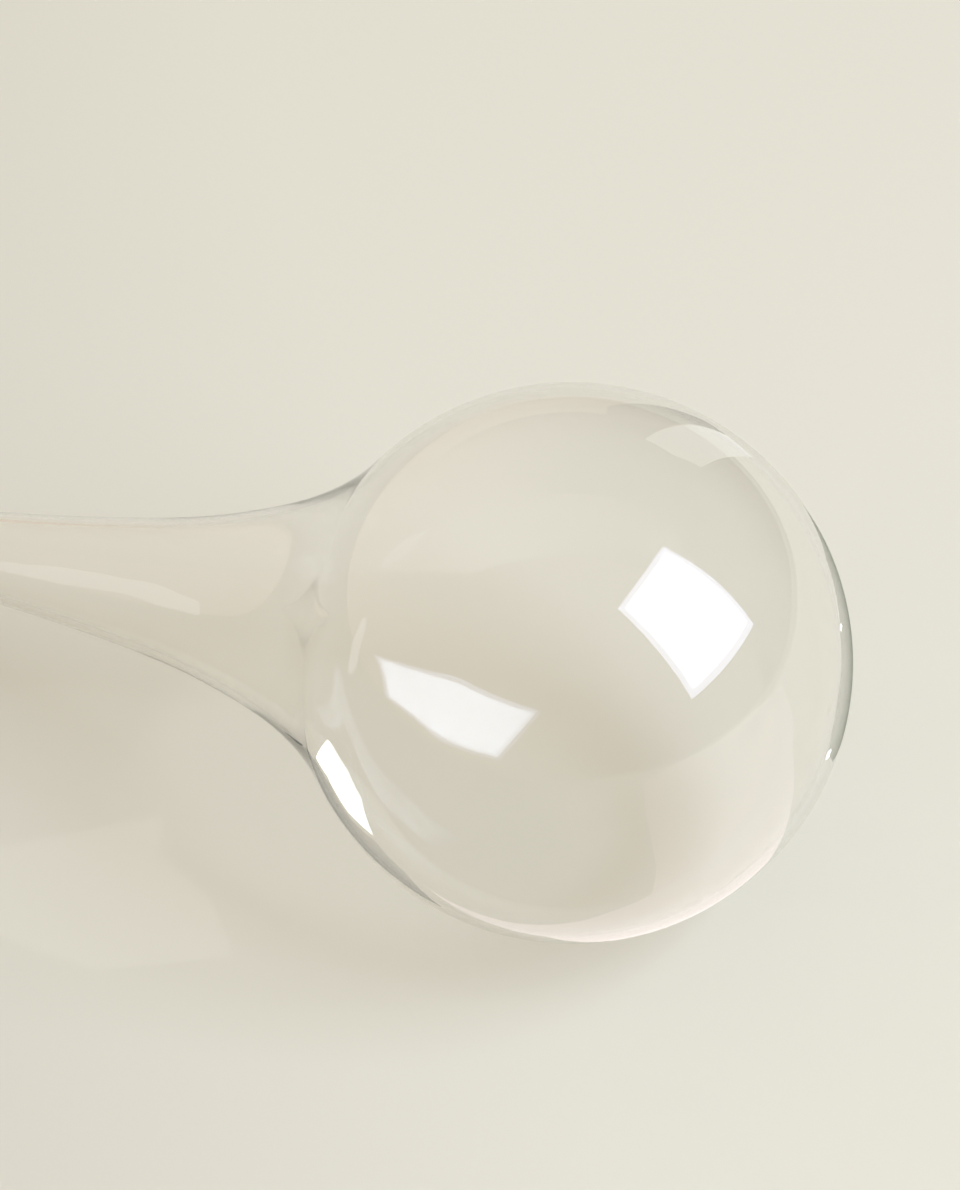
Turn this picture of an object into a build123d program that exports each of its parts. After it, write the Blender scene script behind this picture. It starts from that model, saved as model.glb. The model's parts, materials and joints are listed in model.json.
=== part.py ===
from build123d import *
from math import asin, atan2, cos, hypot, radians, sin
import os

# A watering globe of clear blown glass, lying on its side as it does when it is not in use.
# The ball holds the water, and the drawn neck leads it to a straight stem that goes into the soil.
# Every section is a surface of revolution about one axis, which slopes down from the ball's
# centre to the stem's open end, so that the ball and the tip both touch the ground at z = 0.
# Lengths are in millimetres and angles in degrees. A reach is measured along the axis from the
# ball's centre towards the tip, and a lean is the glass's slope to the axis.

# Bulb
bulb_diameter = 80.0
crown_wall = 1.7  # at the closed end, where the blown glass stays thickest
shoulder_wall = 1.0  # where the ball ends, which is its thinnest place
shoulder_angle = 43.0  # where the ball ends, as the angle from the axis at its centre
shoulder_bend_radius = 45.0  # the hollow bend from the ball to the neck

# Neck
neck_length = 85.0
throat_lean = 21.0  # at the wide end, where the neck is sealed to the bulb
waist_lean = 9.3  # where the short curve of the funnel gives way to the long one

# Stem and outlet
stem_diameter = 10.0
stem_wall = 1.4
stem_length = 67.0
outlet_length = 12.0  # the last stretch of tube, whose end is fire-polished
lip_round_share = 0.42  # the rounding of each edge of the lip, as a share of the wall

# Worked out from the sizes above
quarter_turn = 90
half_turn = 180
bulb_radius = bulb_diameter / 2
stem_radius = stem_diameter / 2
bore_radius = stem_radius - stem_wall
lip_round = stem_wall * lip_round_share
shoulder_lean = quarter_turn - shoulder_angle

# The hollow of the ball is a smaller ball, set a little towards the neck, so that the wall thins
# evenly from the crown to the shoulder.
hollow_shift = (crown_wall - shoulder_wall) / (1 + cos(radians(shoulder_angle)))
hollow_radius = bulb_radius - crown_wall + hollow_shift


def arc_rise(radius, from_lean, to_lean):
    """What an arc takes off the distance to the axis."""
    return radius * (cos(radians(to_lean)) - cos(radians(from_lean)))


def arc_run(radius, from_lean, to_lean):
    """How far an arc goes along the axis."""
    return radius * (sin(radians(from_lean)) - sin(radians(to_lean)))


# The seal between the bulb and the neck is where the outer bend ends. The inner bend starts at the
# same angle of its own ball and ends on the same plane, with the same lean.
angle_cos = cos(radians(shoulder_angle))
angle_sin = sin(radians(shoulder_angle))
throat_reach = bulb_radius * angle_cos + arc_run(shoulder_bend_radius, shoulder_lean, throat_lean)
throat_radius = bulb_radius * angle_sin - arc_rise(shoulder_bend_radius, shoulder_lean, throat_lean)
inner_bend_run = throat_reach - hollow_shift - hollow_radius * angle_cos
inner_bend_radius = inner_bend_run / arc_run(1, shoulder_lean, throat_lean)
inner_throat_radius = hollow_radius * angle_sin - arc_rise(
    inner_bend_radius, shoulder_lean, throat_lean
)
neck_end_reach = throat_reach + neck_length
stem_end_reach = neck_end_reach + stem_length
tip_reach = stem_end_reach + outlet_length


def neck_curves(start_radius, end_radius):
    """Radii of the two arcs that lead from the throat to the stem without a corner."""
    short_rise = arc_rise(1, throat_lean, waist_lean)
    short_run = arc_run(1, throat_lean, waist_lean)
    long_rise = arc_rise(1, waist_lean, 0)
    long_run = arc_run(1, waist_lean, 0)
    fall = start_radius - end_radius
    both = short_rise * long_run - long_rise * short_run
    short_curve = (fall * long_run - long_rise * neck_length) / both
    long_curve = (short_rise * neck_length - short_run * fall) / both
    return short_curve, long_curve


outer_funnel, outer_draw = neck_curves(throat_radius, stem_radius)
inner_funnel, inner_draw = neck_curves(inner_throat_radius, bore_radius)

# The slope at which the globe lies: the ball reaches as far down as the lip of the stem.
lip_center_reach = tip_reach - lip_round
lip_center_radius = stem_radius - lip_round
slope = asin((bulb_radius - lip_round) / hypot(lip_center_reach, lip_center_radius)) - atan2(
    lip_center_radius, lip_center_reach
)

# How far the stem's end reaches sideways from the ball's centre, which centres the globe on the
# origin.
tip_side_reach = lip_round + lip_center_reach * cos(slope) + lip_center_radius * sin(slope)
bulb_center = Vector((tip_side_reach - bulb_radius) / 2, 0, bulb_radius)

# Profiles are drawn on this plane, with X along the axis towards the tip and Y as the radius.
globe_plane = Plane(
    origin=bulb_center, x_dir=Vector(-cos(slope), 0, -sin(slope)), z_dir=Vector(0, 1, 0)
)
globe_axis = Axis(bulb_center, globe_plane.x_dir)

# The bulb's profile is drawn the same way on the plane that lies crosswise to this one, at the side
# of the ball.
side_plane = Plane(origin=bulb_center, x_dir=globe_plane.x_dir, z_dir=-globe_plane.y_dir)

# The bulb: a ball and the hollow bend at its shoulder, the same way outside and inside.
with BuildPart() as bulb:
    with BuildSketch(side_plane):
        with BuildLine():
            ends = []
            for shift, ball_radius, bend_radius in (
                (0, bulb_radius, shoulder_bend_radius),
                (hollow_shift, hollow_radius, inner_bend_radius),
            ):
                ball = CenterArc(
                    (shift, 0), ball_radius, shoulder_angle, arc_size=half_turn - shoulder_angle
                )
                bend = JernArc(
                    start=ball @ 0,
                    tangent=-(ball % 0),
                    radius=bend_radius,
                    arc_size=shoulder_lean - throat_lean,
                )
                ends.append((ball @ 1, bend @ 1))
            Line(ends[0][0], ends[1][0])
            Line(ends[0][1], ends[1][1])
        make_face()
    revolve(axis=globe_axis)

bulb.part.label = "bulb"

# The neck: one long funnel between two seals that are square to the axis.
with BuildPart() as neck:
    with BuildSketch(globe_plane):
        with BuildLine():
            seals = []
            for start_radius, funnel_curve, draw_curve in (
                (throat_radius, outer_funnel, outer_draw),
                (inner_throat_radius, inner_funnel, inner_draw),
            ):
                funnel = JernArc(
                    start=(throat_reach, start_radius),
                    tangent=(cos(radians(throat_lean)), -sin(radians(throat_lean))),
                    radius=funnel_curve,
                    arc_size=throat_lean - waist_lean,
                )
                draw = JernArc(
                    start=funnel @ 1,
                    tangent=funnel % 1,
                    radius=draw_curve,
                    arc_size=waist_lean,
                )
                seals.append((funnel @ 0, draw @ 1))
            Line(seals[0][0], seals[1][0])
            Line(seals[0][1], seals[1][1])
        make_face()
    revolve(axis=globe_axis)

neck.part.label = "neck"

# The stem: a plain tube.
with BuildPart() as stem:
    with BuildSketch(globe_plane):
        with BuildLine():
            Polyline(
                (neck_end_reach, stem_radius),
                (stem_end_reach, stem_radius),
                (stem_end_reach, bore_radius),
                (neck_end_reach, bore_radius),
                close=True,
            )
        make_face()
    revolve(axis=globe_axis)

stem.part.label = "stem"

# The outlet tip: the same tube, with both edges of its open end melted round.
with BuildPart() as outlet_tip:
    with BuildSketch(globe_plane) as outlet_profile:
        with BuildLine():
            Polyline(
                (stem_end_reach, stem_radius),
                (tip_reach, stem_radius),
                (tip_reach, bore_radius),
                (stem_end_reach, bore_radius),
                close=True,
            )
        make_face()
        fillet(outlet_profile.vertices().group_by(Axis.X)[-1], lip_round)
    revolve(axis=globe_axis)

outlet_tip.part.label = "outlet_tip"

os.makedirs("parts", exist_ok=True)
export_step(bulb.part, "parts/bulb.step")
export_step(neck.part, "parts/neck.step")
export_step(stem.part, "parts/stem.step")
export_step(outlet_tip.part, "parts/outlet_tip.step")
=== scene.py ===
# %% [markdown]
# A glass watering globe, lying on a pale table
#
# The real thing is one piece of clear blown glass: a thin ball that holds the water, a neck that
# the glassmaker drew down while the glass was soft, and a straight stem that is pushed into the
# soil. Nothing is screwed or glued on, so the whole look comes from one wall of glass with two
# faces. This script builds that wall as a single mesh, gives it a glass material, and then sets
# up the camera, the table, the lamp, the cards that the glass mirrors, and the dim room.
#
# Everything is in metres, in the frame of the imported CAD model.

# %% Load the frame
import json
from math import asin, cos, degrees, pi, radians, sin, tau

import bmesh
import bpy
from mathutils import Matrix, Vector


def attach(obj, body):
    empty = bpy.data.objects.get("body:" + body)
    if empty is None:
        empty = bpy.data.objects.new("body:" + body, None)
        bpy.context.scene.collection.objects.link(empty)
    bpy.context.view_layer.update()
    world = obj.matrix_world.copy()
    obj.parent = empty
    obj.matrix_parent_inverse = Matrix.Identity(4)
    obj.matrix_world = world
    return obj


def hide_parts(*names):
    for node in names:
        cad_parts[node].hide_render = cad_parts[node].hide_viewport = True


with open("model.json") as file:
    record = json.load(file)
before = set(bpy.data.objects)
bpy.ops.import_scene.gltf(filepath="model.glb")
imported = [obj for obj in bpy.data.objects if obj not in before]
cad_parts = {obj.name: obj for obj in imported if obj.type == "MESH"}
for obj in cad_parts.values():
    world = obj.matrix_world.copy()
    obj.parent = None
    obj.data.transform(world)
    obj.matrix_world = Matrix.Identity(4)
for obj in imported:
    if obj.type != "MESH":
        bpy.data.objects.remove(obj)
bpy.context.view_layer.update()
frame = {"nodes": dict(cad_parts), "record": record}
print("CAD nodes:", sorted(frame["nodes"]))

# %% [markdown]
# Where the globe lies
#
# Every part of the globe is round about one line, which slopes down from the ball to the tip of
# the stem. The record's mount on the stem states that line exactly: a point in the middle of the
# straight tube, the direction towards the tip, the tube's radius and its length. The line could
# be typed again as numbers, but taken from the record it keeps the visible glass on the solid
# that it stands for.

# %% Axis and tube from the record
mounts = {mount["name"]: mount for mount in frame["record"]["mounts"]}
stem_mount = mounts["stem_outside"]
bore_mount = mounts["outlet_bore"]
MM = 0.001

to_tip = Vector(stem_mount["axis"]).normalized()
across = Vector((0, 1, 0))
off_axis = across.cross(to_tip)
STEM_RADIUS = stem_mount["dims"]["r_mm"] * MM
BORE_RADIUS = bore_mount["dims"]["r_mm"] * MM
TUBE_LENGTH = stem_mount["dims"]["length_mm"] * MM
tube_middle = Vector(stem_mount["pos_m"])
print("stem radius", STEM_RADIUS, "bore radius", BORE_RADIUS, "slope", degrees(asin(-to_tip.z)))

# %% [markdown]
# The outline of the glass
#
# Seen from the side, the wall has two outlines, an outer and an inner one, each made of arcs that
# run into each other without a corner: the ball, a short hollow bend at its shoulder, the curve
# of the funnel, and a long slow curve that becomes the tube. A designer could draw them as a
# Bezier curve, but arcs say what the glass really does, and their radii follow from a few sizes.
# A lean is the slope of the glass to the axis, in degrees. A reach is measured along the axis
# from the ball's centre.

# %% Sizes of the glass
BALL_RADIUS = 40 * MM
CROWN_WALL = 1.7 * MM  # at the closed end
SHOULDER_WALL = 1.0 * MM  # where the ball ends
SHOULDER_ANGLE = 43  # from the axis to where the ball ends
SHOULDER_BEND = 45 * MM
NECK_LENGTH = 85 * MM
THROAT_LEAN = 21
WAIST_LEAN = 9.3
LIP_SHARE = 0.42  # rounding of each edge of the lip, as a share of the wall
SHOULDER_LEAN = 90 - SHOULDER_ANGLE
HOLLOW_SHIFT = (CROWN_WALL - SHOULDER_WALL) / (1 + cos(radians(SHOULDER_ANGLE)))
HOLLOW_RADIUS = BALL_RADIUS - CROWN_WALL + HOLLOW_SHIFT
LIP_ROUND = (STEM_RADIUS - BORE_RADIUS) * LIP_SHARE
print("hollow radius", round(HOLLOW_RADIUS, 6), "shifted by", round(HOLLOW_SHIFT, 6))


# %% What an arc does
def rise(from_lean, to_lean):
    """What an arc of radius 1 takes off the distance to the axis."""
    return cos(radians(to_lean)) - cos(radians(from_lean))


def run(from_lean, to_lean):
    """How far an arc of radius 1 goes along the axis."""
    return sin(radians(from_lean)) - sin(radians(to_lean))


# %% Arcs that lead from the ball to the tube
def on_ball(radius):
    """Where a ball of that radius ends, as a reach and a distance from the axis."""
    return radius * cos(radians(SHOULDER_ANGLE)), radius * sin(radians(SHOULDER_ANGLE))


def neck_radii(start, end):
    """Radii of the funnel's arc and of the long arc between two distances from the axis."""
    fall = start - end
    short_rise, short_run = rise(THROAT_LEAN, WAIST_LEAN), run(THROAT_LEAN, WAIST_LEAN)
    long_rise, long_run = rise(WAIST_LEAN, 0), run(WAIST_LEAN, 0)
    both = short_rise * long_run - long_rise * short_run
    funnel = (fall * long_run - long_rise * NECK_LENGTH) / both
    draw = (short_rise * NECK_LENGTH - short_run * fall) / both
    return funnel, draw


outer_reach, outer_start = on_ball(BALL_RADIUS)
inner_reach, inner_start = on_ball(HOLLOW_RADIUS)
inner_reach += HOLLOW_SHIFT
throat_reach = outer_reach + SHOULDER_BEND * run(SHOULDER_LEAN, THROAT_LEAN)
inner_bend = (throat_reach - inner_reach) / run(SHOULDER_LEAN, THROAT_LEAN)
throat_out = outer_start - SHOULDER_BEND * rise(SHOULDER_LEAN, THROAT_LEAN)
throat_in = inner_start - inner_bend * rise(SHOULDER_LEAN, THROAT_LEAN)
funnel_out, draw_out = neck_radii(throat_out, STEM_RADIUS)
funnel_in, draw_in = neck_radii(throat_in, BORE_RADIUS)
neck_end = throat_reach + NECK_LENGTH
ball_center = tube_middle - to_tip * (neck_end + TUBE_LENGTH / 2)
print("ball centre", tuple(round(v, 6) for v in ball_center), "throat at", round(throat_reach, 5))

# %% [markdown]
# Drawing an outline with a spinning point
#
# In Blender an arc can be drawn by spinning one vertex about a centre: each step leaves an edge
# behind. The chain starts on the axis at the crown's outer face, follows the outer outline to the
# tip, turns over the rounded lip, and comes back inside to the crown's inner face. A skin with
# the Solidify modifier would be quicker, but its wall is equally thick, and this one is 1.7 mm in
# the middle of the crown, 1.0 mm at the shoulder and 1.4 mm in the stem. So both faces are one
# chain.


# %% A pen that draws arcs and straight lines
def place(reach, distance):
    """Point of the outline, at a reach along the axis and a distance from it."""
    return ball_center + to_tip * reach + off_axis * distance


class Pen:
    """Draws a chain of edges, heading along a lean towards the tip."""

    def __init__(self, mesh, start):
        self.mesh = mesh
        self.tip = mesh.verts.new(start)

    def arc(self, center, angle, steps):
        """Spins the last point about a centre given as reach and distance."""
        turned = bmesh.ops.spin(
            self.mesh,
            geom=[self.tip],
            cent=place(*center),
            axis=across,
            angle=radians(angle),
            steps=steps,
        )
        self.tip = turned["geom_last"][0]

    def line(self, end, steps):
        """Runs straight to a point given as reach and distance."""
        shift = (place(*end) - self.tip.co) / steps
        for _ in range(steps):
            grown = bmesh.ops.extrude_vert_indiv(self.mesh, verts=[self.tip])
            self.tip = grown["verts"][0]
            bmesh.ops.translate(self.mesh, verts=[self.tip], vec=shift)

    def where(self):
        """The last point as reach and distance."""
        offset = self.tip.co - ball_center
        return offset.dot(to_tip), offset.dot(off_axis)


glass_mesh = bmesh.new()
pen = Pen(glass_mesh, place(-BALL_RADIUS, 0))
print("the pen starts at", pen.where())

# %% The outer outline, from the crown to the tip
BALL_STEPS = 84
BEND_STEPS = 14
FUNNEL_STEPS = 16
DRAW_STEPS = 22
TUBE_STEPS = 8

ball_turn = 180 - SHOULDER_ANGLE
bend_turn = SHOULDER_LEAN - THROAT_LEAN
funnel_turn = THROAT_LEAN - WAIST_LEAN
tube_end = neck_end + TUBE_LENGTH
bend_side, bend_up = cos(radians(SHOULDER_ANGLE)), sin(radians(SHOULDER_ANGLE))
lean_side, lean_up = sin(radians(THROAT_LEAN)), cos(radians(THROAT_LEAN))
outer_bend_at = (outer_reach + SHOULDER_BEND * bend_side, outer_start + SHOULDER_BEND * bend_up)
outer_funnel_at = (throat_reach + funnel_out * lean_side, throat_out + funnel_out * lean_up)

pen.arc((0, 0), -ball_turn, BALL_STEPS)
pen.arc(outer_bend_at, bend_turn, BEND_STEPS)
pen.arc(outer_funnel_at, funnel_turn, FUNNEL_STEPS)
pen.arc((neck_end, STEM_RADIUS + draw_out), WAIST_LEAN, DRAW_STEPS)
pen.line((tube_end, STEM_RADIUS), TUBE_STEPS)
print("the tube ends at", pen.where())

# %% The lip, melted round in the flame
LIP_STEPS = 6
LIP_TURN = -90

pen.arc((tube_end, STEM_RADIUS - LIP_ROUND), LIP_TURN, LIP_STEPS)
pen.line((tube_end + LIP_ROUND, BORE_RADIUS + LIP_ROUND), 1)
pen.arc((tube_end, BORE_RADIUS + LIP_ROUND), LIP_TURN, LIP_STEPS)
print("the lip ends at", pen.where())

# %% The inner outline, from the tip back to the crown
inner_bend_at = (inner_reach + inner_bend * bend_side, inner_start + inner_bend * bend_up)
inner_funnel_at = (throat_reach + funnel_in * lean_side, throat_in + funnel_in * lean_up)

pen.line((neck_end, BORE_RADIUS), TUBE_STEPS)
pen.arc((neck_end, BORE_RADIUS + draw_in), -WAIST_LEAN, DRAW_STEPS)
pen.arc(inner_funnel_at, -funnel_turn, FUNNEL_STEPS)
pen.arc(inner_bend_at, -bend_turn, BEND_STEPS)
pen.arc((HOLLOW_SHIFT, 0), ball_turn, BALL_STEPS)
print("inner outline ends at", pen.where(), "should be", (CROWN_WALL - BALL_RADIUS, 0))

# %% [markdown]
# From outline to glass
#
# The real wall is blown from a turning tube, so it is round about its axis everywhere. A Screw
# modifier could turn the outline into that wall, but one full spin of the chain does it at once
# and leaves a plain mesh. The two ends of the chain lie on the axis, so the spin leaves a stack
# of doubles there. Merging them closes the poles, and only then are the normals turned outwards.

# %% Spin the outline
TURN_STEPS = 192
WELD = 1e-7

bmesh.ops.spin(
    glass_mesh,
    geom=glass_mesh.verts[:] + glass_mesh.edges[:],
    cent=ball_center,
    axis=to_tip,
    angle=tau,
    steps=TURN_STEPS,
    use_merge=True,
)
bmesh.ops.remove_doubles(glass_mesh, verts=glass_mesh.verts, dist=WELD)
bmesh.ops.recalc_face_normals(glass_mesh, faces=glass_mesh.faces)
open_edges = sum(not edge.is_manifold for edge in glass_mesh.edges)
print("faces", len(glass_mesh.faces), "open edges", open_edges)
print("volume of the glass", glass_mesh.calc_volume())

# %% Make it an object
glass_data = bpy.data.meshes.new("glass_globe")
glass_mesh.to_mesh(glass_data)
glass_mesh.free()
for face in glass_data.polygons:
    face.use_smooth = True
globe = bpy.data.objects.new("glass_globe", glass_data)
bpy.context.scene.collection.objects.link(globe)
print("glass_globe size", tuple(round(v, 4) for v in globe.dimensions))

# %% [markdown]
# Clear glass
#
# Such globes are lampworked from clear borosilicate tubing, which bends light a little less than
# window glass does, and the flame leaves very faint streaks in it. A Glass BSDF would do, but a
# Principled one with full transmission keeps its colour and its index where an exporter finds
# them. The streaks could be bump, but at this size bump breaks up the clean mirror images of a
# ball, so they are a very slow, very faint change of tint.


# %% Two helpers for nodes
def node(tree, kind, **settings):
    """Adds a node and sets its plain properties."""
    made = tree.nodes.new(kind)
    for name, value in settings.items():
        setattr(made, name, value)
    return made


def join(tree, *pairs):
    """Joins outputs to inputs, given in pairs."""
    for source, target in pairs:
        tree.links.new(source, target)


glass = bpy.data.materials.new("clear_glass")
glass.use_nodes = True
glass_tree = glass.node_tree
print("nodes to start with:", [made.name for made in glass_tree.nodes])

# %% Glass with faint streaks
GLASS_INDEX = 1.47
STREAKS_PER_METRE = 38.0
CLEAR_STREAK = (0.995, 0.993, 0.986, 1)
WARM_STREAK = (0.985, 0.983, 0.974, 1)

clear = glass_tree.nodes["Principled BSDF"]
clear.inputs["Transmission Weight"].default_value = 1
clear.inputs["Roughness"].default_value = 0
clear.inputs["IOR"].default_value = GLASS_INDEX
on_glass = node(glass_tree, "ShaderNodeTexCoord")
streaks = node(glass_tree, "ShaderNodeTexNoise")
streaks.inputs["Scale"].default_value = STREAKS_PER_METRE
streaks.inputs["Detail"].default_value = 1
tint = node(glass_tree, "ShaderNodeMix", data_type="RGBA")
tint.inputs["A"].default_value = CLEAR_STREAK
tint.inputs["B"].default_value = WARM_STREAK
join(
    glass_tree,
    (on_glass.outputs["Object"], streaks.inputs["Vector"]),
    (streaks.outputs["Fac"], tint.inputs["Factor"]),
    (tint.outputs["Result"], clear.inputs["Base Color"]),
)
print("glass index", GLASS_INDEX, "streaks per metre", STREAKS_PER_METRE)

# %% [markdown]
# Soft shadows from clear glass
#
# A real glass ball throws a soft grey shadow with brighter lines in it, where the curved wall
# gathers the light. A path tracer finds those lines only by chance, and they come out as white
# specks. So the light for the table takes easier ways, which Light Path tells apart. A shadow ray
# goes straight through each face and keeps what that face doesn't mirror: little is lost where
# the glass is seen head-on and nearly all at its rim, and that makes the dark edge of the shadow.
# A ray by which the table looks for light goes straight through or is mirrored. Every other ray
# meets the full glass.

# %% What a face of the glass mirrors
CLEAR_TINT = (0.985, 0.982, 0.975, 1)
HEAD_ON_MIRROR = 0.036
MIRROR_POWER = 5
EVEN_BLEND = 0.5

facing = node(glass_tree, "ShaderNodeLayerWeight")
facing.inputs["Blend"].default_value = EVEN_BLEND
steep = node(glass_tree, "ShaderNodeMath", operation="POWER")
steep.inputs[1].default_value = MIRROR_POWER
mirrored = node(glass_tree, "ShaderNodeMapRange")
mirrored.inputs["To Min"].default_value = HEAD_ON_MIRROR
mirrored.inputs["To Max"].default_value = 1
join(
    glass_tree,
    (facing.outputs["Facing"], steep.inputs[0]),
    (steep.outputs[0], mirrored.inputs["Value"]),
)
print("share mirrored head-on", HEAD_ON_MIRROR, "and at the rim 1")

# %% The way of the lamp's light
passed = node(glass_tree, "ShaderNodeMix", data_type="RGBA")
passed.inputs["A"].default_value = CLEAR_TINT
passed.inputs["B"].default_value = (0, 0, 0, 1)
lamp_light = node(glass_tree, "ShaderNodeBsdfTransparent")
join(
    glass_tree,
    (mirrored.outputs["Result"], passed.inputs["Factor"]),
    (passed.outputs["Result"], lamp_light.inputs["Color"]),
)
print("tint that a face leaves", CLEAR_TINT[:3])

# %% The way of the table's own light
straight = node(glass_tree, "ShaderNodeBsdfTransparent")
straight.inputs["Color"].default_value = CLEAR_TINT
mirror = node(glass_tree, "ShaderNodeBsdfAnisotropic")
mirror.inputs["Roughness"].default_value = 0
table_light = node(glass_tree, "ShaderNodeMixShader")
join(
    glass_tree,
    (mirrored.outputs["Result"], table_light.inputs["Fac"]),
    (straight.outputs[0], table_light.inputs[1]),
    (mirror.outputs[0], table_light.inputs[2]),
)
print("the table's rays are mixed from", straight.bl_idname, "and", mirror.bl_idname)

# %% Choose by the kind of ray
path = node(glass_tree, "ShaderNodeLightPath")
for_table = node(glass_tree, "ShaderNodeMixShader")
for_lamp = node(glass_tree, "ShaderNodeMixShader")
join(
    glass_tree,
    (path.outputs["Is Diffuse Ray"], for_table.inputs["Fac"]),
    (clear.outputs[0], for_table.inputs[1]),
    (table_light.outputs[0], for_table.inputs[2]),
    (path.outputs["Is Shadow Ray"], for_lamp.inputs["Fac"]),
    (for_table.outputs[0], for_lamp.inputs[1]),
    (lamp_light.outputs[0], for_lamp.inputs[2]),
    (for_lamp.outputs[0], glass_tree.nodes["Material Output"].inputs["Surface"]),
)
glass_data.materials.append(glass)
print("nodes in the glass", len(glass_tree.nodes))

# %% Tell the frame what the piece stands for
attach(globe, "root")
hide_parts("bulb", "neck", "stem", "outlet_tip")
print("glass_globe stands for the bulb, the neck, the stem and the outlet tip")

# %% [markdown]
# Camera
#
# The photograph looks down at the table at 45 degrees, from about 0.9 m away, with the stem going
# off to the left and out of the picture. The camera could be moved by hand until the picture
# fits, but here it is worked out: it stands at the photograph's angle and distance, and it aims
# beside the ball, so that the ball's centre falls on the photograph's own pixel. The shift stays
# at zero.

# %% What the photograph says
PICTURE_WIDTH = 960
PICTURE_HEIGHT = 1190
BALL_X = 572.7
BALL_Y = 661.5
PIXELS_PER_METRE = 7020
CAMERA_DISTANCE = 0.9
CAMERA_HEIGHT_ANGLE = 45
CAMERA_TURN = 23
SENSOR_MM = 36

turn = radians(CAMERA_TURN)
right = Vector((cos(turn), sin(turn), 0))
away = Vector((-sin(turn), cos(turn), 0))
up = Vector((0, 0, 1))
print("right in the picture is", tuple(round(v, 3) for v in right))

# %% Aim it
tilt = radians(CAMERA_HEIGHT_ANGLE)
camera_at = ball_center + CAMERA_DISTANCE * (up * sin(tilt) - away * cos(tilt))
picture_up = up * cos(tilt) + away * sin(tilt)
aim = (
    ball_center
    - right * (BALL_X - PICTURE_WIDTH / 2) / PIXELS_PER_METRE
    + picture_up * (BALL_Y - PICTURE_HEIGHT / 2) / PIXELS_PER_METRE
)
camera_data = bpy.data.cameras.new("camera")
camera_data.sensor_fit = "VERTICAL"
camera_data.sensor_height = SENSOR_MM
camera_data.lens = SENSOR_MM * PIXELS_PER_METRE * CAMERA_DISTANCE / PICTURE_HEIGHT
camera = bpy.data.objects.new("camera", camera_data)
camera.location = camera_at
camera.rotation_euler = (aim - camera_at).to_track_quat("-Z", "Y").to_euler()
bpy.context.scene.collection.objects.link(camera)
bpy.context.scene.camera = camera
print("lens", round(camera_data.lens, 1), "camera at", tuple(round(v, 3) for v in camera_at))

# %% [markdown]
# Table
#
# The real one is a plain pale surface without a seam or an edge in sight, a little darker on the
# left than on the right, where less of the lamp's light falls. The lamp could stand nearer to
# give that slope, but then the whole picture would change with it, so the slope is painted shade
# in the table's colour. The table is only as large as the lamp lights it well: what the glass
# mirrors past its edge is the room.

# %% A flat table
TABLE_SIZE = 1.5

table_mesh = bmesh.new()
bmesh.ops.create_grid(table_mesh, x_segments=1, y_segments=1, size=TABLE_SIZE / 2)
table_data = bpy.data.meshes.new("table")
table_mesh.to_mesh(table_data)
table_mesh.free()
table = bpy.data.objects.new("table", table_data)
bpy.context.scene.collection.objects.link(table)
print("table", tuple(round(v, 2) for v in table.dimensions))

# %% Its colour, with painted shade towards the left
TABLE_COLOR = (0.76, 0.73, 0.635, 1)
DARKEST_SHARE = 0.8
LIGHTER_RIGHT = 0.974
LIGHTER_AWAY = 0.244
SHADE_STARTS = -0.21
SHADE_LENGTH = 0.2
TABLE_ROUGHNESS = 0.9
TABLE_GLOSS = 0.2

# Painted shade: the colour falls to DARKEST_SHARE of itself towards the left and a little towards
# the front, where less of the lamp's light falls.
lighter_way = right * LIGHTER_RIGHT + away * LIGHTER_AWAY
shade_from = right.dot(ball_center) * LIGHTER_RIGHT + away.dot(ball_center) * LIGHTER_AWAY
shade_from += SHADE_STARTS
table_paint = bpy.data.materials.new("pale_table")
table_paint.use_nodes = True
table_tree = table_paint.node_tree
pale = table_tree.nodes["Principled BSDF"]
pale.inputs["Roughness"].default_value = TABLE_ROUGHNESS
pale.inputs["Specular IOR Level"].default_value = TABLE_GLOSS
on_it = node(table_tree, "ShaderNodeTexCoord")
towards = node(table_tree, "ShaderNodeVectorMath", operation="DOT_PRODUCT")
towards.inputs[1].default_value = lighter_way
shaded = node(table_tree, "ShaderNodeMapRange")
shaded.inputs["From Min"].default_value = shade_from
shaded.inputs["From Max"].default_value = shade_from + SHADE_LENGTH
table_color_with_painted_shade = node(table_tree, "ShaderNodeMix", data_type="RGBA")
table_color_with_painted_shade.inputs["A"].default_value = tuple(v * DARKEST_SHARE for v in TABLE_COLOR[:3]) + (1,)
table_color_with_painted_shade.inputs["B"].default_value = TABLE_COLOR
join(
    table_tree,
    (on_it.outputs["Object"], towards.inputs[0]),
    (towards.outputs["Value"], shaded.inputs["Value"]),
    (shaded.outputs["Result"], table_color_with_painted_shade.inputs["Factor"]),
    (table_color_with_painted_shade.outputs["Result"], pale.inputs["Base Color"]),
)
table_data.materials.append(table_paint)
print("the table's colour runs from", DARKEST_SHARE, "to 1 over", SHADE_LENGTH, "m")

# %% [markdown]
# Key lamp
#
# In a studio, glass is lit by a few bright or pale surfaces, and it mirrors them. The main one
# here is a softbox, high on the right and a little in front. Its mirror images tell where it
# stands and how it is turned. One area lamp could be both the light and the image, but then its
# image and the table's light could not be set one by one, and the far image needs a shape of its
# own. So the lamp lights the table alone, out of the glass's sight, and cards in the same
# direction give the images.


# %% The softbox's own directions
TO_SOFTBOX = (0.6643, -0.2576, 0.7017)
SOFTBOX_DOWN = (0.4591, -0.1985, -0.8659)
SOFTBOX_ACROSS = (-0.4631, -0.8853, -0.0426)


def seen(direction):
    """Turns a direction given as right, away and up in the picture into the frame's own."""
    return right * direction[0] + away * direction[1] + up * direction[2]


box_down = seen(SOFTBOX_DOWN).normalized()
box_out = -box_down.cross(seen(SOFTBOX_ACROSS)).normalized()
box_across = box_out.cross(box_down)
to_box = seen(TO_SOFTBOX).normalized()
print("the softbox is", round(degrees(asin(to_box.z)), 1), "degrees high")

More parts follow.
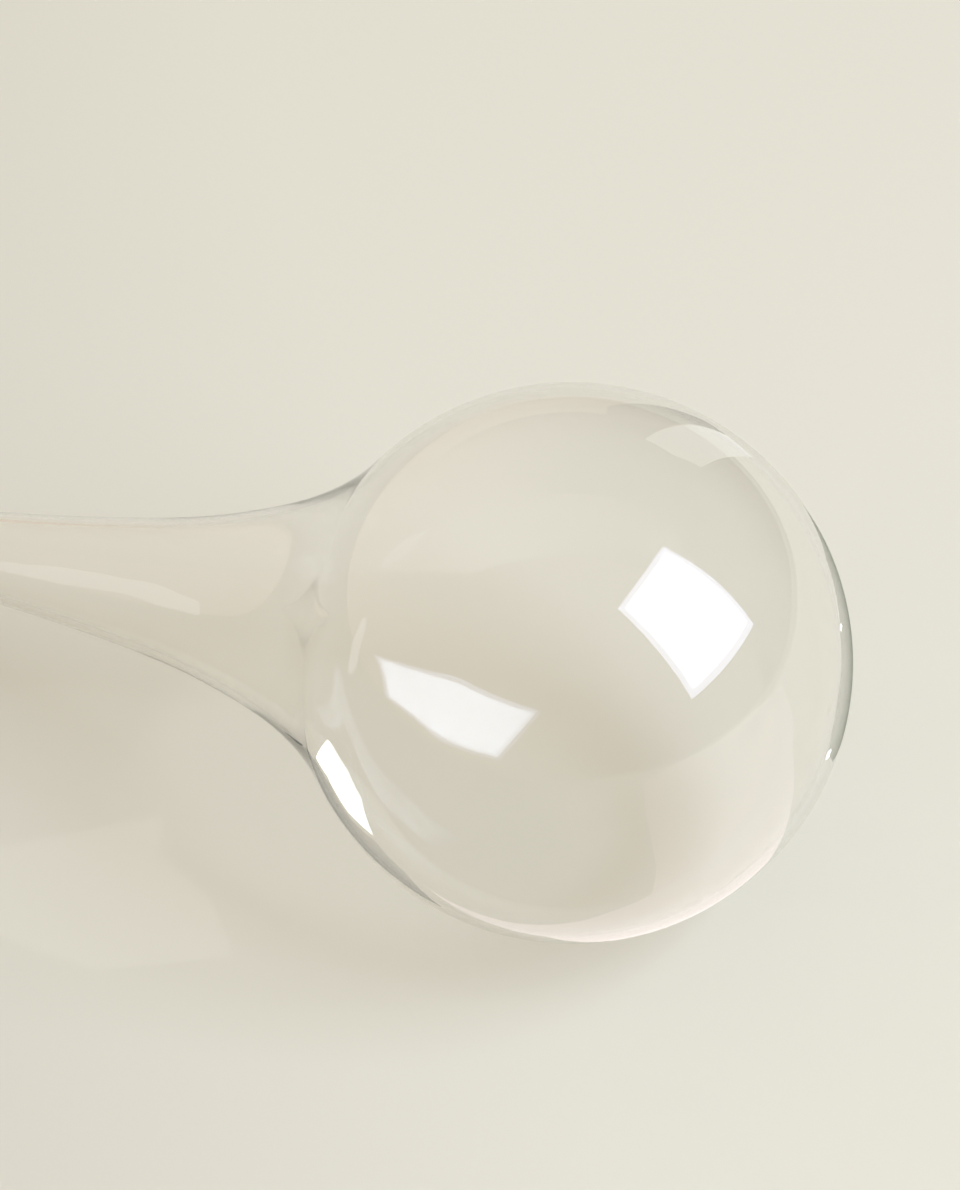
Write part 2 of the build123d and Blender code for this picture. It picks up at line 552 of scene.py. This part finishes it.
# %% The lamp
KEY_LENGTH = 1.28
KEY_WIDTH = 1.04
KEY_DISTANCE = 1.9
KEY_RADIANCE = 9.6
COOL = (0.68, 0.84, 1.0)

key_data = bpy.data.lights.new("key", "AREA")
key_data.shape = "RECTANGLE"
key_data.size = KEY_LENGTH
key_data.size_y = KEY_WIDTH
key_data.color = COOL
key_data.energy = KEY_RADIANCE * pi * KEY_LENGTH * KEY_WIDTH
key = bpy.data.objects.new("key", key_data)
turned = Matrix((box_down, box_across, box_out)).transposed().to_4x4()
key.matrix_world = Matrix.Translation(ball_center + to_box * KEY_DISTANCE) @ turned
key.visible_camera = False
key.visible_glossy = False
key.visible_transmission = False
bpy.context.scene.collection.objects.link(key)
print("key lamp", round(key_data.energy, 1), "W")

# %% [markdown]
# Cards for the glass to show
#
# On a studio table, white and black cards stand round a glass and just out of the picture. The
# glass shows them as bright and dark lines, and these lines are what makes its shape readable.
# The same works in Blender: a flat shape that sends out light, hidden from the camera and from
# diffuse rays, so that it doesn't light the table. Only the table's faint gloss still mirrors a
# card that lies on it. Lamps could do it too, but a lamp can't be dark, and a card takes any
# shape. Each card casts no shadow and is left out of the list of lamps, which keeps the render
# quick.


# %% Which rays a card shows itself to
FACES_TO_CROSS = 3.5
FADE_FROM = -500 * MM
FADE_TO = 300 * MM


def past_far_wall(nodes):
    """1 for a ray that has crossed more than three faces of the glass, and 0 before that."""
    kind = node(nodes, "ShaderNodeLightPath")
    crossed = node(nodes, "ShaderNodeMath", operation="GREATER_THAN")
    crossed.inputs[1].default_value = FACES_TO_CROSS
    join(nodes, (kind.outputs["Transmission Depth"], crossed.inputs[0]))
    return crossed.outputs[0]


def fading_left(nodes):
    """1 on the right, and softly down to 0 on the left."""
    on_card = node(nodes, "ShaderNodeTexCoord")
    sideways = node(nodes, "ShaderNodeVectorMath", operation="DOT_PRODUCT")
    sideways.inputs[1].default_value = right
    grown = node(nodes, "ShaderNodeMapRange", interpolation_type="SMOOTHSTEP")
    grown.inputs["From Min"].default_value = right.dot(ball_center) + FADE_FROM
    grown.inputs["From Max"].default_value = right.dot(ball_center) + FADE_TO
    join(
        nodes,
        (on_card.outputs["Object"], sideways.inputs[0]),
        (sideways.outputs["Value"], grown.inputs["Value"]),
    )
    return grown.outputs[0]


# %% The paint of a card
def glowing(name, color, radiance, share=None):
    """A paint that glows, by a share of 0 to 1 where one is given, and is clear for the rest."""
    paint = bpy.data.materials.new(name)
    paint.use_nodes = True
    paint.cycles.emission_sampling = "NONE"
    nodes = paint.node_tree
    nodes.nodes.remove(nodes.nodes["Principled BSDF"])
    surface = nodes.nodes["Material Output"].inputs["Surface"]
    glow = node(nodes, "ShaderNodeEmission")
    glow.inputs["Color"].default_value = (*color, 1)
    glow.inputs["Strength"].default_value = radiance
    if share is None:
        join(nodes, (glow.outputs[0], surface))
        return paint
    hidden = node(nodes, "ShaderNodeBsdfTransparent")
    either = node(nodes, "ShaderNodeMixShader")
    join(
        nodes,
        (share(nodes), either.inputs["Fac"]),
        (hidden.outputs[0], either.inputs[1]),
        (glow.outputs[0], either.inputs[2]),
        (either.outputs[0], surface),
    )
    return paint


# %% A card
def card(name, corners, color, radiance, share=None):
    """A flat card that only the glass shows, with its corners given from the ball's centre."""
    mesh = bmesh.new()
    mesh.faces.new([mesh.verts.new(ball_center + corner) for corner in corners])
    data = bpy.data.meshes.new(name)
    mesh.to_mesh(data)
    mesh.free()
    data.materials.append(glowing(name, color, radiance, share))
    made = bpy.data.objects.new(name, data)
    made.visible_camera = False
    made.visible_diffuse = False
    made.visible_shadow = False
    made.visible_glossy = share is not past_far_wall
    made.visible_transmission = share is past_far_wall
    bpy.context.scene.collection.objects.link(made)
    print("card", made.name, "with", len(corners), "corners, radiance", radiance)


# %% [markdown]
# The two images of the softbox
#
# A glass ball shows a lamp twice: upright and small in its near side, and upside down in the
# hollow of its far side. On a perfect ball one rectangle would give both, but this one is blown
# by hand, so the far image leans and is a little skewed. Bending the whole wall by hand to match
# would spoil its outline. So each image has a card of its own shape in the softbox's direction:
# mirrored rays see the near one, and only rays that have been through to the far wall see the far
# one. A softbox has a paler border where its cloth is sewn to the frame, so each card has a
# brighter core in front of it.


# %% Points on the softbox's plane
NEAR_BOX = 0.2
FRONT_GAP = 0.001


def in_box_plane(points, distance, share=1):
    """Points given as down and across in millimetres, pulled towards their middle by a share."""
    middle_down = sum(a for a, b in points) / len(points)
    middle_across = sum(b for a, b in points) / len(points)
    corners = []
    for a, b in points:
        down = (middle_down + (a - middle_down) * share) * MM
        side = (middle_across + (b - middle_across) * share) * MM
        corners.append(to_box * distance + box_down * down + box_across * side)
    return corners


# %% Near image
NEAR_IMAGE = ((-80, -65), (80, -65), (80, 65), (-80, 65))
NEAR_CORE_SHARE = 0.88
BORDER_COLOR = (0.69, 0.73, 1.0)
CORE_COLOR = (0.72, 0.8, 1.0)
near_core = in_box_plane(NEAR_IMAGE, NEAR_BOX - FRONT_GAP, NEAR_CORE_SHARE)
near_border = in_box_plane(NEAR_IMAGE, NEAR_BOX)
card("softbox_border", near_border, BORDER_COLOR, radiance=8.3)
card("softbox_core", near_core, CORE_COLOR, radiance=14)

# %% Far image
FAR_IMAGE = ((-100, -66), (62, 2), (30, 107), (-87, 66))
FAR_CORE_SHARE = 0.86
far_core = in_box_plane(FAR_IMAGE, NEAR_BOX - FRONT_GAP, FAR_CORE_SHARE)
far_border = in_box_plane(FAR_IMAGE, NEAR_BOX)
card("far_border", far_border, BORDER_COLOR, radiance=2.8, share=past_far_wall)
card("far_core", far_core, CORE_COLOR, radiance=6.6, share=past_far_wall)

# %% [markdown]
# Bright and dark lines in the glass
#
# The photograph has more marks than the softbox's: a pale patch with a dark crescent at the top
# right, a long streak on the neck, a white one at the lower left with a dark band beside it, a
# warm glow at the lower right, and a thin dark rim with two sparkles on the right. Each of them
# is painted: a glowing card gives a painted highlight, and a dim card gives painted shade. Each
# mark was traced back, and a mirror direction says where on the table, behind the ball or beside
# it its card has to be. A single picture of a whole room could hold them all, but cards are
# easier to move one at a time.


# %% Places for cards
OVER_TABLE = 0.2 * MM


def on_table(points):
    """Corners of a patch that lies on the table, given as right and away in millimetres."""
    return [seen((a * MM, b * MM, 0)) - up * (BALL_RADIUS - OVER_TABLE) for a, b in points]


def behind(points, distance):
    """Corners on an upright plane behind the ball, given as right and up in millimetres."""
    return [seen((a * MM, distance * MM, b * MM)) for a, b in points]


def beside(points, distance):
    """Corners on an upright plane at the ball's side, given as away and up in millimetres."""
    return [seen((distance * MM, a * MM, b * MM)) for a, b in points]


# %% Patch and crescent at the top right
BRIGHT_BEHIND = ((66, -39), (64, 110), (98, 118), (128, 102), (100, 0), (85, -39))
DARK_BEHIND = ((20, 45), (22, 75), (62, 72), (64, 0), (65, -39), (52, -39), (38, 0))
BRIGHT_DISTANCE = 180
DARK_DISTANCE = 179
WHITE = (1, 1, 1)
BROWN_SHADE = (1, 0.9, 0.75)
# Painted highlight and painted shade: a pale glowing card and a dim one behind the ball.
card("bright_behind", behind(BRIGHT_BEHIND, BRIGHT_DISTANCE), WHITE, radiance=1.1)
card("dark_behind", behind(DARK_BEHIND, DARK_DISTANCE), BROWN_SHADE, radiance=0.12)

# %% Streak along the neck
STEM_STREAK = (
    (-10, 5), (-9, -6), (-3, -9), (3, 3), (8, 11), (9, 19), (13, 29), (11, 33), (4, 31),
)
STREAK_SIDE = -150
STREAK_COLOR = (1, 0.98, 1)
# Painted highlight: a pale glowing card to the left, which the neck mirrors as the streak.
card("stem_streak", beside(STEM_STREAK, STREAK_SIDE), STREAK_COLOR, radiance=2.0)

# %% White streak at the lower left
LOW_LEFT = (
    (-60, 7), (-72, 3.5), (-88, -1), (-89, -6), (-82, -18), (-68, -24), (-48, -21), (-52, -10),
    (-60, -1),
)
COLD_WHITE = (0.95, 0.97, 1)
# Painted highlight: a bright card on the table, which the lower left of the ball mirrors as the
# white streak.
card("glint_low_left", on_table(LOW_LEFT), COLD_WHITE, radiance=5)

# %% Warm glow at the lower right
LOW_RIGHT = (
    (-30, -27), (-12, -33), (-3, -37), (10, -43), (22, -46), (30, -60), (60, -130), (200, -420),
    (520, -600), (780, -250), (500, -20), (180, -15), (110, -20), (60, -14), (34, -8), (22, -14),
    (7, -20), (-4, -28),
)
WARM_GLOW = (1.0, 0.88, 0.85)
# Painted light: a warm glowing card on the table, which the lower right of the ball mirrors as
# the glow.
card("glow_low_right", on_table(LOW_RIGHT), WARM_GLOW, radiance=1.4)

# %% Dark band beside the white streak
DARK_LOW_LEFT = (
    (-57, 7), (-57, -2), (-49, -10), (-45, -20), (-35, -24), (-22, -21), (-30, -14), (-37, -5),
    (-43, 8), (-52, 15),
)
COLD_SHADE = (0.85, 0.92, 1)
# Painted shade: a dim card on the table beside the bright one.
card("dark_low_left", on_table(DARK_LOW_LEFT), COLD_SHADE, radiance=0.12)

# %% Dark rim on the right, with two sparkles
DARK_RIM = (
    (84, 90), (90, 70), (93, 55), (87, 40), (84, 27), (73, 14), (64, 9), (50, 14), (42, 24),
    (38, 52), (50, 90),
)
SPARKLES = ((88, 57), (62, 9))
SPARKLE_SHAPE = ((-2, 0), (0, -2), (2, 0), (0, 2))
GREEN_SHADE = (0.9, 1, 0.75)
# Painted shade and painted glints: a dim card and two small bright ones on the table stand in for
# the dark edge and the sparkles that the thicker glass of the right rim makes.
card("dark_rim", on_table(DARK_RIM), GREEN_SHADE, radiance=0.2)
for middle in SPARKLES:
    spot = [(middle[0] + a, middle[1] + b) for a, b in SPARKLE_SHAPE]
    card("sparkle", [corner + up * MM for corner in on_table(spot)], WHITE, radiance=12)

# %% [markdown]
# The room
#
# Past the table's edge the glass mirrors and bends in the room: a pale, warm wall on the left and
# a dim one on the right. A photograph of a real room could stand round the scene, but two colours
# that run softly into each other are enough for clear glass, and they keep every other view
# plain. In the mirrored rays alone, two large dim cards stand for the darker back and side of the
# room, so that the ball's upper edge gets the faint grey lines of the photograph.

# %% Dim walls that the glass mirrors
ROOM_BEHIND = ((-500, 150), (150, 150), (250, -39), (1000, -39), (1000, 1200), (-500, 1200))
ROOM_BESIDE = ((-800, -39), (600, -39), (600, 1200), (-800, 1200))
BACK_DISTANCE = 600
SIDE_DISTANCE = 1000
WARM_DIM = (1, 0.8, 0.6)
back_wall = behind(ROOM_BEHIND, BACK_DISTANCE)
card("room_behind", back_wall, WARM_DIM, radiance=0.06, share=fading_left)
card("room_beside", beside(ROOM_BESIDE, SIDE_DISTANCE), WARM_DIM, radiance=0.1)

# %% The room's own two sides
PALE_SIDE = (0.86, 0.74, 0.62, 1)
DIM_SIDE = (0.34, 0.27, 0.19, 1)
BLEND_REACH = 0.7

world = bpy.data.worlds.new("room")
world.use_nodes = True
sky = world.node_tree
look = node(sky, "ShaderNodeTexCoord")
leftness = node(sky, "ShaderNodeVectorMath", operation="DOT_PRODUCT")
leftness.inputs[1].default_value = -right
blend = node(sky, "ShaderNodeMapRange", interpolation_type="SMOOTHSTEP")
blend.inputs["From Min"].default_value = -BLEND_REACH
blend.inputs["From Max"].default_value = BLEND_REACH
room_color = node(sky, "ShaderNodeMix", data_type="RGBA")
room_color.inputs["A"].default_value = DIM_SIDE
room_color.inputs["B"].default_value = PALE_SIDE
join(
    sky,
    (look.outputs["Generated"], leftness.inputs[0]),
    (leftness.outputs["Value"], blend.inputs["Value"]),
    (blend.outputs["Result"], room_color.inputs["Factor"]),
    (room_color.outputs["Result"], sky.nodes["Background"].inputs["Color"]),
)
bpy.context.scene.world = world
print("the room runs from", PALE_SIDE[:3], "on the left to", DIM_SIDE[:3], "on the right")

# %% [markdown]
# Plain colours
#
# Blender's usual view, AgX, softens bright colours as film does. That suits sunlight, but it
# would turn this pale table grey. Standard shows a colour as it is written, so the render can be
# set against the photograph number by number.

# %% Standard view
bpy.context.scene.view_settings.view_transform = "Standard"
print("view", bpy.context.scene.view_settings.view_transform)
